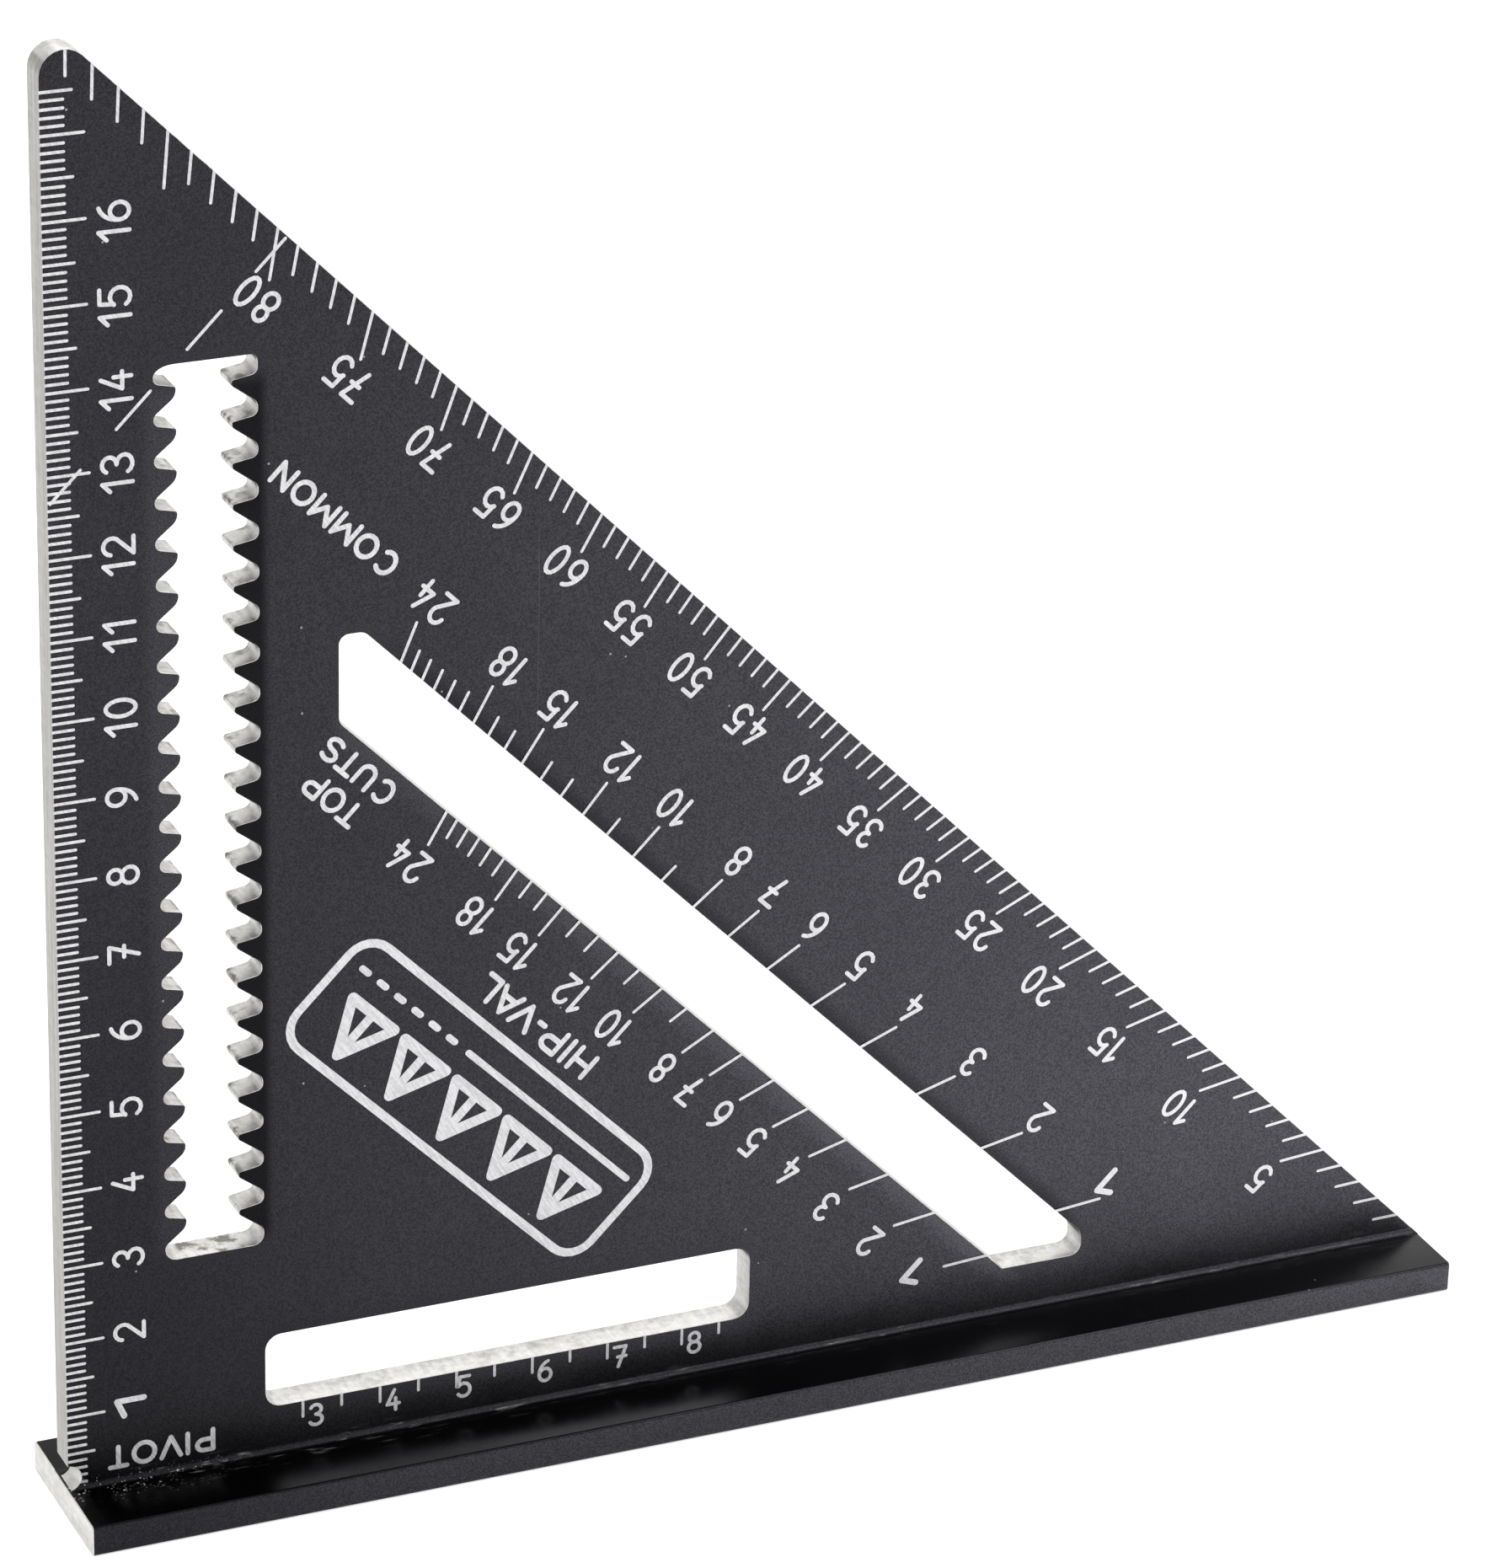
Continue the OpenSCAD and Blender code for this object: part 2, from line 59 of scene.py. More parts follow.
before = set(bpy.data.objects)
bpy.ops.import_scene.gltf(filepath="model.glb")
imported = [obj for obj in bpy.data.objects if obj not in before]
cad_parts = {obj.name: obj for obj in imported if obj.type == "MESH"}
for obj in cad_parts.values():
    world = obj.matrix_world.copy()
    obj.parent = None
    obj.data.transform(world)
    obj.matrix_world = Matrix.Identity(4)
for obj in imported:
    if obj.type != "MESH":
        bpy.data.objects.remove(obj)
CAD_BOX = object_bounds()

MM = 0.001
LENGTH = CAD_BOX[1].x - CAD_BOX[0].x
FENCE_THICKNESS = 4 * MM
# Points this near to a plane, in metres, lie on it.
SAME_PLANE = 1e-6
# Points compared with an outline's edges at one time, to keep the arrays small.
ROWS_AT_ONCE = 4000

Socket = bpy.types.NodeSocket
Tree = bpy.types.NodeTree
Colour = tuple[float, float, float]
Span = tuple[float, float]


class Skin(IntEnum):
    """A face's material number on the blade and on the fence."""

    ANODISED = 0
    BARE = 1


# ---- Shader building ---------------------------------------------------------------------


class Graph:
    """A thin writer for one node tree: it makes nodes and joins them in one call each."""

    def __init__(self, tree: Tree) -> None:
        """Takes the node tree of a material or of a node group."""
        self.tree = tree

    def node(self, kind: str, inputs: dict | None = None, **settings) -> bpy.types.Node:
        """Adds a node.

        Args:
            kind: The node's type name.
            inputs: Values or sockets for its inputs, by name or index.
            settings: Its own properties.

        Returns:
            The new node.
        """
        made = self.tree.nodes.new(kind)
        for name, value in settings.items():
            setattr(made, name, value)
        for name, value in (inputs or {}).items():
            if isinstance(value, bpy.types.NodeSocket):
                self.tree.links.new(value, made.inputs[name])
            else:
                made.inputs[name].default_value = value
        return made

    def feed(self, node: bpy.types.Node, name: str, value: Socket) -> None:
        """Joins a value to a node's input."""
        self.tree.links.new(value, node.inputs[name])

    def math(self, operation: str, *values: float | Socket) -> Socket:
        """Returns the result of a Math node on the given values."""
        made = self.node("ShaderNodeMath", dict(enumerate(values)), operation=operation)
        return made.outputs[0]

    def product(self, first: Socket, *others: float | Socket) -> Socket:
        """Returns all the values multiplied together."""
        for other in others:
            first = self.math("MULTIPLY", first, other)
        return first

    def larger(self, a: Socket, b: Socket) -> Socket:
        """Returns the larger of two values."""
        return self.math("MAXIMUM", a, b)

    def average(self, first: Socket, second: Socket, share: float) -> Socket:
        """Returns share of the first value plus the rest of the second."""
        rest = self.math("MULTIPLY", second, 1.0 - share)
        return self.math("MULTIPLY_ADD", first, share, rest)

    def changed(self, value: Socket, mask: Socket, change: float) -> Socket:
        """Returns a value times (1 + change) where a mask is one, and as it was elsewhere."""
        return self.math("MULTIPLY", value, self.math("MULTIPLY_ADD", mask, change, 1.0))

    def ramp(self, value: Socket, low: float, high: float, start: float = 0.0,
             end: float = 1.0) -> Socket:
        """Returns value's smooth step from low to high, put between start and end."""
        inputs = {0: value, 1: low, 2: high, 3: start, 4: end}
        return self.node("ShaderNodeMapRange", inputs, interpolation_type="SMOOTHSTEP").outputs[0]

    def rise(self, value: Socket, span: Span) -> Socket:
        """Returns the smooth step from 0 to 1 over a span in millimetres."""
        return self.ramp(value, span[0] * MM, span[1] * MM)

    def fall(self, value: Socket, span: Span, start: float = 1.0, end: float = 0.0) -> Socket:
        """Returns the smooth step down from start to end over a span in millimetres."""
        return self.ramp(value, span[0] * MM, span[1] * MM, start, end)

    def band(self, value: Socket, up: Span, down: Span) -> Socket:
        """Returns a mask that rises over one span and falls over a later one, in millimetres."""
        return self.product(self.rise(value, up), self.fall(value, down))

    def mix(self, factor: float | Socket, a: tuple | Socket, b: tuple | Socket,
            blend: str = "MIX") -> Socket:
        """Returns two colours mixed by a factor."""
        inputs = {0: factor, 6: a, 7: b}
        return self.node("ShaderNodeMix", inputs, data_type="RGBA", blend_type=blend).outputs[2]

    def noise(self, where: Socket, scale: float | Socket, detail: float = 2.0,
              rough: float = 0.5) -> Socket:
        """Returns a noise value about 0.5 at a place in metres, with scale in cells a metre."""
        inputs = {"Vector": where, "Scale": scale, "Detail": detail, "Roughness": rough}
        return self.node("ShaderNodeTexNoise", inputs).outputs[0]

    def stretched(self, where: Socket, scale: tuple[float, float, float],
                  turn: float = 0.0) -> Socket:
        """Turns a place about Y and then scales it along each axis.

        Args:
            where: The place.
            scale: The scale along x, y and z.
            turn: The turn in degrees.

        Returns:
            The new place.
        """
        angles = (0.0, math.radians(turn), 0.0)
        turned = self.node("ShaderNodeVectorRotate", {"Vector": where, "Rotation": angles},
                           rotation_type="EULER_XYZ").outputs[0]
        inputs = {0: turned, 1: scale}
        return self.node("ShaderNodeVectorMath", inputs, operation="MULTIPLY").outputs[0]

    def parts(self, vector: Socket) -> tuple[Socket, Socket, Socket]:
        """Returns a vector's x, y and z."""
        return tuple(self.node("ShaderNodeSeparateXYZ", {0: vector}).outputs)

    def bump(self, height: Socket, strength: float, depth: float) -> Socket:
        """Returns the surface normal with a height laid on it, depth in millimetres."""
        inputs = {"Strength": strength, "Distance": depth * MM, "Height": height}
        return self.node("ShaderNodeBump", inputs).outputs[0]


def rgba(red: float, green: float, blue: float) -> tuple[float, float, float, float]:
    """Returns an opaque colour."""
    return (red, green, blue, 1.0)


def new_group(name: str, outputs: tuple[str, ...],
              inputs: dict[str, float]) -> tuple[Tree, Graph, dict[str, Socket]]:
    """Starts a node group that takes a place and some numbers, and puts out values.

    Args:
        name: The group's name.
        outputs: Its output names.
        inputs: Its number inputs with their defaults.

    Returns:
        The group, its writer, and its input sockets by name.
    """
    group = bpy.data.node_groups.new(name, "ShaderNodeTree")
    group.interface.new_socket("Place", in_out="INPUT", socket_type="NodeSocketVector")
    for label, value in inputs.items():
        socket = group.interface.new_socket(label, in_out="INPUT", socket_type="NodeSocketFloat")
        socket.default_value = value
    for label in outputs:
        group.interface.new_socket(label, in_out="OUTPUT", socket_type="NodeSocketFloat")
    writer = Graph(group)
    entry = writer.node("NodeGroupInput")
    return group, writer, {s.name: s for s in entry.outputs if s.name}


def speckle_group() -> Tree:
    """Fine grain with soft clouds: noise at grain size plus noise some millimetres wide.

    Returns:
        The group.
    """
    group, g, at = new_group("fine_speckle", ("Grain", "Cloud"), {"Grain scale": 3500.0})
    fine = g.noise(at["Place"], at["Grain scale"], 2.0, 0.6)
    cloud = g.noise(at["Place"], 45.0, 4.0, 0.6)
    g.node("NodeGroupOutput", {"Grain": g.ramp(fine, 0.25, 0.75),
                               "Cloud": g.ramp(cloud, 0.3, 0.7)})
    return group


def dust_group() -> Tree:
    """Specks: the middles of scattered cells, kept in a share of the cells chosen at random.

    Returns:
        The group.
    """
    numbers = {"Cells": 420.0, "Share": 0.03, "Size": 0.18}
    group, g, at = new_group("dust_specks", ("Mask",), numbers)
    inputs = {"Vector": at["Place"], "Scale": at["Cells"], "Randomness": 1.0}
    cell = g.node("ShaderNodeTexVoronoi", inputs, feature="F1")
    near = g.math("LESS_THAN", cell.outputs["Distance"], at["Size"])
    pick = g.node("ShaderNodeSeparateColor", {"Color": cell.outputs["Color"]})
    chosen = g.math("LESS_THAN", pick.outputs[0], at["Share"])
    g.node("NodeGroupOutput", {"Mask": g.product(near, chosen)})
    return group


def scuff_group() -> Tree:
    """Faint rubbed streaks: noise drawn out along one diagonal, kept only where clouds allow it.

    Returns:
        The group.
    """
    group, g, at = new_group("scuffs", ("Mask",), {"Amount": 0.5})
    along = g.stretched(at["Place"], (1.0, 1.0, 12.0), 45.0)
    streak = g.ramp(g.noise(along, 110.0, 3.0, 0.65), 0.60, 0.74)
    patch = g.ramp(g.noise(at["Place"], 60.0), 0.56, 0.70)
    g.node("NodeGroupOutput", {"Mask": g.product(streak, patch, at["Amount"])})
    return group


def cut_marks_group() -> Tree:
    """What a press or a saw leaves on a wall: lines through the thickness, mottling, smudges.

    Returns:
        The group.
    """
    outputs = ("Lines", "Mottle", "Smudge")
    group, g, at = new_group("cut_marks", outputs, {"Line scale": 1500.0})
    across = g.stretched(at["Place"], (1.0, 0.12, 1.0))
    lines = g.noise(across, at["Line scale"], 3.0, 0.6)
    mottle = g.noise(at["Place"], 900.0, 4.0, 0.7)
    smudge = g.noise(at["Place"], 330.0, 3.0, 0.6)
    g.node("NodeGroupOutput", {"Lines": g.ramp(lines, 0.3, 0.7),
                               "Mottle": g.ramp(mottle, 0.3, 0.72),
                               "Smudge": g.ramp(smudge, 0.56, 0.74)})
    return group


@dataclass(frozen=True)
class Canvas:
    """A material under way, with what its patterns are laid out by.

    x is the distance from the upright edge, y the place through the blade and z the height above
    the fence's bearing face.
    """

    material: bpy.types.Material
    g: Graph
    shader: bpy.types.Node
    where: Socket
    normal: Socket
    x: Socket
    y: Socket
    z: Socket


class Finishes:
    """The shared node groups, each built once, and the start of every material."""

    def __init__(self) -> None:
        """Builds the node groups."""
        self.speckle = speckle_group()
        self.dust = dust_group()
        self.scuffs = scuff_group()
        self.cut_marks = cut_marks_group()

    def start(self, name: str) -> Canvas:
        """Starts a material.

        Args:
            name: Its name.

        Returns:
            The material under way.
        """
        material = bpy.data.materials.new(name)
        material.use_nodes = True
        g = Graph(material.node_tree)
        shader = material.node_tree.nodes["Principled BSDF"]
        place = g.node("ShaderNodeTexCoord").outputs
        x, y, z = g.parts(place["Object"])
        low = CAD_BOX[0]
        x = g.math("SUBTRACT", x, low.x)
        z = g.math("SUBTRACT", z, low.z + FENCE_THICKNESS)
        return Canvas(material, g, shader, place["Object"], place["Normal"], x, y, z)

    def use(self, c: Canvas, group: Tree, **inputs: float) -> bpy.types.bpy_prop_collection:
        """Places a node group in a material.

        Args:
            c: The material.
            group: The node group.
            inputs: Its own values for the group's numbers.

        Returns:
            The group's outputs.
        """
        made = c.g.node("ShaderNodeGroup", node_tree=group)
        c.g.feed(made, "Place", c.where)
        for label, value in inputs.items():
            made.inputs[label.replace("_", " ").capitalize()].default_value = value
        return made.outputs


@dataclass(frozen=True)
class PaintedTiltBands:
    """Bands of the front face beside the slots, where the press rolled the metal over; they carry
    painted shade and painted highlight.

    Each pair is the span of one smooth step in millimetres. A band has two: where it begins and
    where it ends. The diagonal slot's bands are measured along x + z.
    """

    front: Span = (-1.2, -0.9)
    teeth_bottom: Span = (28.5, 31.0)
    teeth_top: Span = (137.5, 140.5)
    right_of_teeth: tuple[Span, Span] = ((20.8, 21.2), (25.0, 26.6))
    left_of_teeth: tuple[Span, Span] = ((10.6, 12.9), (15.8, 16.4))
    diagonal_left: Span = (33.0, 36.0)
    diagonal_right: Span = (131.0, 135.0)
    diagonal_bottom: Span = (3.5, 7.0)
    above_diagonal: tuple[Span, Span] = ((142.5, 143.2), (144.2, 147.0))
    above_diagonal_top: Span = (98.0, 106.0)
    above_diagonal_share: float = 0.5
    below_diagonal: tuple[Span, Span] = ((125.0, 129.2), (130.0, 131.0))

    def masks(self, c: Canvas) -> tuple[Socket, Socket]:
        """Gives where painted shade goes, as the face leans away from the light, and where painted
        highlight goes, as it leans towards it.

        Args:
            c: The material.

        Returns:
            A mask of the painted shade bands, and one of the painted highlight bands.
        """
        g = c.g
        front = g.fall(c.y, self.front)
        beside = g.product(g.band(c.z, self.teeth_bottom, self.teeth_top), front)
        right = g.band(c.x, *self.right_of_teeth)
        left = g.band(c.x, *self.left_of_teeth)
        along = g.product(g.rise(c.x, self.diagonal_left), g.rise(c.z, self.diagonal_bottom),
                          front, g.fall(c.x, self.diagonal_right))
        across = g.math("ADD", c.x, c.z)
        upper = g.product(g.band(across, *self.above_diagonal),
                          g.fall(c.z, self.above_diagonal_top))
        lower = g.band(across, *self.below_diagonal)
        # Painted shade right of the teeth and above the diagonal, painted highlight left of the
        # teeth and below it.
        painted_shade_bands = g.larger(g.product(right, beside),
                          g.product(upper, along, self.above_diagonal_share))
        return painted_shade_bands, g.larger(g.product(left, beside), g.product(lower, along))


@dataclass(frozen=True)
class Wear:
    """Dust, rubbed streaks, scuffs and one scratch. Spans are in millimetres."""

    front_half: Span = (0.0, 1.0)
    dust_x: Span = (3.0, 26.0)
    dust_y: Span = (-7.5, -3.5)
    dust_z: Span = (0.8, 1.8)
    coarse_share: float = 0.9
    powder_share: float = 0.7
    few_share: float = 0.45
    rub_start: Span = (6.0, 12.0)
    rub_fade: Span = (30.0, 60.0)
    rub_rest: float = 0.3
    rub_y: Span = (-6.2, -3.2)
    rub_z: Span = (0.9, 1.8)
    rub_share: float = 0.5
    scuff_from_hypotenuse: float = 10.0
    scuff_fade: Span = (2.0, 9.0)
    scuff_rest: float = 0.25
    scratch_x: float = 59.4
    scratch_sway: float = 1.2
    scratch_width: Span = (0.02, 0.09)
    scratch_share: float = 0.45
    scratch_z: tuple[Span, Span] = ((88.0, 92.0), (112.0, 120.0))

    def specks(self, finishes: Finishes, c: Canvas) -> Socket:
        """Gives a few tiny specks anywhere, and more of them at the foot of the pivot corner.

        Args:
            finishes: The shared node groups.
            c: The material.

        Returns:
            The specks' mask.
        """
        g = c.g
        few = finishes.use(c, finishes.dust, cells=520.0, share=0.035, size=0.075)["Mask"]
        coarse = finishes.use(c, finishes.dust, cells=1500.0, share=0.22, size=0.26)["Mask"]
        powder = finishes.use(c, finishes.dust, cells=3000.0, share=0.40, size=0.30)["Mask"]
        near = g.product(g.fall(c.x, self.dust_x), g.fall(c.z, self.dust_z),
                         g.rise(c.y, self.dust_y), g.fall(c.y, self.front_half))
        patchy = g.ramp(g.noise(c.where, 420.0), 0.42, 0.56)
        corner = g.larger(g.product(coarse, self.coarse_share),
                          g.product(powder, self.powder_share))
        return g.larger(g.product(few, self.few_share), g.product(corner, near, patchy))

    def rubbed_foot(self, c: Canvas) -> Socket:
        """Gives thin streaks along the front flange, where boards rubbed it near the pivot.

        Args:
            c: The material.

        Returns:
            The streaks' mask.
        """
        g = c.g
        along = g.stretched(c.where, (0.14, 1.0, 1.0))
        streak = g.ramp(g.noise(along, 1500.0, 3.0, 0.6), 0.54, 0.68)
        near = g.product(g.rise(c.x, self.rub_start), g.fall(c.x, self.rub_fade, end=self.rub_rest),
                         g.rise(c.y, self.rub_y), g.fall(c.z, self.rub_z),
                         g.fall(c.y, self.front_half))
        patchy = g.ramp(g.noise(c.where, 160.0), 0.42, 0.56)
        return g.product(streak, near, patchy, self.rub_share)

    def scuffs(self, finishes: Finishes, c: Canvas) -> Socket:
        """Gives faint streaks, more of them in a band beside the hypotenuse.

        Args:
            finishes: The shared node groups.
            c: The material.

        Returns:
            The streaks' mask.
        """
        g = c.g
        middle = LENGTH - self.scuff_from_hypotenuse * MM
        away = g.math("ABSOLUTE", g.math("SUBTRACT", g.math("ADD", c.x, c.z), middle))
        streaks = finishes.use(c, finishes.scuffs)["Mask"]
        return g.product(streaks, g.fall(away, self.scuff_fade, end=self.scuff_rest))

    def scratch(self, c: Canvas) -> Socket:
        """Gives a hair-thin, nearly upright line between the diagonal slot and the hypotenuse.

        Args:
            c: The material.

        Returns:
            The line's mask.
        """
        g = c.g
        sway = g.product(g.math("SUBTRACT", g.noise(c.where, 60.0), 0.5), self.scratch_sway * MM)
        line = g.math("ADD", sway, self.scratch_x * MM)
        away = g.math("ABSOLUTE", g.math("SUBTRACT", c.x, line))
        thin = g.fall(away, self.scratch_width, start=self.scratch_share)
        return g.product(thin, g.band(c.z, *self.scratch_z), g.fall(c.y, self.front_half))


@dataclass(frozen=True)
class AnodisedFinish:
    """Satin black anodising with fine grain, soft clouds, scuffs and specks of dust.

    The skin is a very dark metal. Its reflection carries painted light: it is painted weaker at the
    left, in the lower left corner, on faces that look up when that share is below one and on the
    painted shade bands, and stronger on the painted highlight bands. Its tone is painted paler to
    the right and painted down on the shade bands. Dust is matt.
    """

    name: str = "black_anodised"
    dark: Colour = (0.0050, 0.0048, 0.0056)
    light: Colour = (0.0135, 0.0130, 0.0155)
    scuff: Colour = (0.085, 0.085, 0.09)
    dust: Colour = (0.50, 0.50, 0.48)
    tint: Colour = (0.90, 0.875, 1.0)
    roughness: Span = (0.36, 0.48)
    # Reflection strength, rising from the left end to the right end: a painted light gradient on
    # the metal's own reflection.
    sheen_and_painted_light: Span = (0.024, 0.062)
    # Painted shade on faces that look up: their reflection strength is scaled by this share.
    painted_top_sheen: float = 1.0
    grain_scale: float = 5200.0
    grain_share: float = 0.6
    grain_gain: Span = (0.62, 1.38)
    # Painted light: the tone is ramped from the left end to the right end by these gains.
    painted_light_tone_gain: Span = (0.7, 1.2)
    # Painted shade in the lower left corner of the face.
    painted_shade_corner_x: Span = (0.0, 45.0)
    painted_shade_corner_z: Span = (10.0, 110.0)
    painted_shade_corner_change: float = -0.38
    # Painted shade and painted highlight on the tilted bands beside the slots, as shares of the
    # reflection strength.
    painted_shade_change: float = -0.76
    painted_highlight_change: float = 0.55
    # Span of the normal's height over which faces count as looking up, for their painted shade.
    painted_top_facing: Span = (0.35, 0.95)
    bump_strength: float = 0.12
    bump_depth: float = 0.02
    bands: PaintedTiltBands = PaintedTiltBands()
    wear: Wear = Wear()

    def build(self, finishes: Finishes) -> bpy.types.Material:
        """Builds the material.

        Args:
            finishes: The shared node groups.

        Returns:
            The material.
        """
        c = finishes.start(self.name)
        g = c.g
        speckle = finishes.use(c, finishes.speckle, grain_scale=self.grain_scale)
        painted_shade_bands, painted_highlight_bands = self.bands.masks(c)
        tone = g.average(speckle["Grain"], speckle["Cloud"], self.grain_share)
        # Painted light: the tone grows from left to right, and painted shade takes it down on the
        # shade bands.
        tone = g.product(tone, g.ramp(c.x, 0.0, LENGTH, *self.painted_light_tone_gain),
                         g.math("SUBTRACT", 1.0, painted_shade_bands))
        # The reflection strength, with its painted shade and painted highlight, goes into the base
        # colour of a full metal.
        sheen_and_painted_light = g.product(self.sheen_and_painted_light_at(c, painted_shade_bands, painted_highlight_bands),
                          g.ramp(speckle["Grain"], 0.0, 1.0, *self.grain_gain))
        gloss_and_painted_light = g.node("ShaderNodeVectorMath", {0: self.tint, "Scale": sheen_and_painted_light}, operation="SCALE")
        colour = g.mix(tone, rgba(*self.dark), rgba(*self.light))
        colour = g.mix(1.0, colour, gloss_and_painted_light.outputs[0], "ADD")
        colour = g.mix(self.wear.scuffs(finishes, c), colour, rgba(*self.scuff))
        colour = g.mix(self.wear.scratch(c), colour, rgba(*self.scuff))
        dusty = g.larger(self.wear.rubbed_foot(c), self.wear.specks(finishes, c))
        g.feed(c.shader, "Base Color", g.mix(dusty, colour, rgba(*self.dust)))
        g.feed(c.shader, "Metallic", g.math("SUBTRACT", 1.0, dusty))
        g.feed(c.shader, "Roughness", g.ramp(speckle["Cloud"], 0.0, 1.0, *self.roughness))
        g.feed(c.shader, "Normal", g.bump(speckle["Grain"], self.bump_strength, self.bump_depth))
        return c.material

    def sheen_and_painted_light_at(self, c: Canvas, painted_shade_bands: Socket, painted_highlight_bands: Socket) -> Socket:
        """Gives how much light the skin throws back, with painted shade and painted highlight laid
        on it by place and by facing.

        Args:
            c: The material.
            painted_shade_bands: Mask of the painted shade bands.
            painted_highlight_bands: Mask of the painted highlight bands.

        Returns:
            The share of light, before the grain.
        """
        g = c.g
        # Painted light: the reflection strength ramps up from the left end to the right end.
        sheen_and_painted_light = g.ramp(c.x, 0.0, LENGTH, *self.sheen_and_painted_light)
        # Painted shade in the lower left corner.
        corner = g.product(g.fall(c.x, self.painted_shade_corner_x), g.fall(c.z, self.painted_shade_corner_z))
        sheen_and_painted_light = g.changed(sheen_and_painted_light, corner, self.painted_shade_corner_change)
        # Painted shade on faces that look up, where the share is below one.
        painted_top_shade = g.ramp(g.parts(c.normal)[2], *self.painted_top_facing)
        sheen_and_painted_light = g.changed(sheen_and_painted_light, painted_top_shade, self.painted_top_sheen - 1.0)
        # Painted highlight and painted shade on the tilted bands beside the slots.
        sheen_and_painted_light = g.changed(sheen_and_painted_light, painted_highlight_bands, self.painted_highlight_change)
        return g.changed(sheen_and_painted_light, painted_shade_bands, self.painted_shade_change)


@dataclass(frozen=True)
class CutFinish:
    """Bare metal of the walls and edges that were cut after anodising.

    Walls that look up or sideways are light, and those that look down get painted shade: they are
    black and lose their metal. Spans are in millimetres, but for painted_shade_facing_down, which
    is the normal's height.
    """

    name: str = "bare_cut_metal"
    light: Colour = (0.80, 0.795, 0.78)
    grey: Colour = (0.45, 0.435, 0.41)
    smudge: Colour = (0.17, 0.155, 0.13)
    edge: Colour = (0.33, 0.32, 0.30)
    # Painted shade for walls that look down.
    black: Colour = (0.012, 0.010, 0.008)
    roughness: Span = (0.38, 0.56)
    metallic: float = 0.8
    line_share: float = 0.35
    inside_x: Span = (1.5, 4.0)
    mottle_gain: Span = (0.75, 0.95)
    teeth_end: Span = (25.2, 26.0)
    smudge_gain: Span = (0.8, 0.3)
    left_tips: Span = (14.6, 15.3)
    right_tips: Span = (22.1, 22.9)
    tip_share: float = 0.9
    upright_x: Span = (0.5, 0.9)
    upright_z: Span = (0.0, 0.4)
    drawn_gain: Span = (0.72, 1.0)
    # Span of the normal's height over which walls that look down take their painted shade.
    painted_shade_facing_down: Span = (-0.42, -0.16)
    bump_strength: float = 0.5
    bump_depth: float = 0.06

    def build(self, finishes: Finishes) -> bpy.types.Material:
        """Builds the material.

        Args:
            finishes: The shared node groups.

        Returns:
            The material.
        """
        c = finishes.start(self.name)
        g = c.g
        marks = finishes.use(c, finishes.cut_marks)
        tone = g.average(marks["Lines"], marks["Mottle"], self.line_share)
        inside_edge = g.rise(c.x, self.inside_x)
        mottled = g.product(g.math("SUBTRACT", 1.0, tone),
                            g.ramp(inside_edge, 0.0, 1.0, *self.mottle_gain))
        colour = g.mix(mottled, rgba(*self.light), rgba(*self.grey))
        soiled = g.larger(self.smudges(c, marks["Smudge"], inside_edge), self.tooth_tips(c))
        colour = g.mix(soiled, colour, rgba(*self.smudge))
        colour = g.mix(self.upright_edge(c), colour, rgba(*self.edge))
        # Painted shade: walls that look down, away from the upright edge, are painted black and not
        # metal.
        down = g.ramp(g.parts(c.normal)[2], *self.painted_shade_facing_down, 1.0, 0.0)
        down = g.product(down, inside_edge)
        g.feed(c.shader, "Base Color", g.mix(down, colour, rgba(*self.black)))
        metal = g.math("MULTIPLY_ADD", down, -self.metallic, self.metallic)
        g.feed(c.shader, "Metallic", metal)
        g.feed(c.shader, "Roughness", g.ramp(tone, 0.0, 1.0, *self.roughness))
        g.feed(c.shader, "Normal", g.bump(tone, self.bump_strength, self.bump_depth))
        return c.material

    def smudges(self, c: Canvas, smudge: Socket, inside_edge: Socket) -> Socket:
        """Returns smudges on the slots' walls, more of them on the teeth than further right."""
        start, end = self.smudge_gain
        return c.g.product(smudge, inside_edge, c.g.fall(c.x, self.teeth_end, start, end))

    def tooth_tips(self, c: Canvas) -> Socket:
        """Returns dark, patchy soiling on the tips of both rows of teeth."""
        patchy = c.g.ramp(c.g.noise(c.where, 520.0, 3.0, 0.6), 0.48, 0.62)
        return c.g.product(c.g.band(c.x, self.left_tips, self.right_tips), patchy, self.tip_share)

    def upright_edge(self, c: Canvas) -> Socket:
        """Gives the greyer upright edge, with fine lines drawn along it.

        Args:
            c: The material.

        Returns:
            The edge's mask.
        """
        g = c.g
        upright = g.product(g.fall(c.x, self.upright_x), g.rise(c.z, self.upright_z))
        drawn = g.noise(g.stretched(c.where, (1.0, 1.0, 0.03)), 1800.0)
        return g.product(upright, g.ramp(drawn, 0.3, 0.7, *self.drawn_gain))


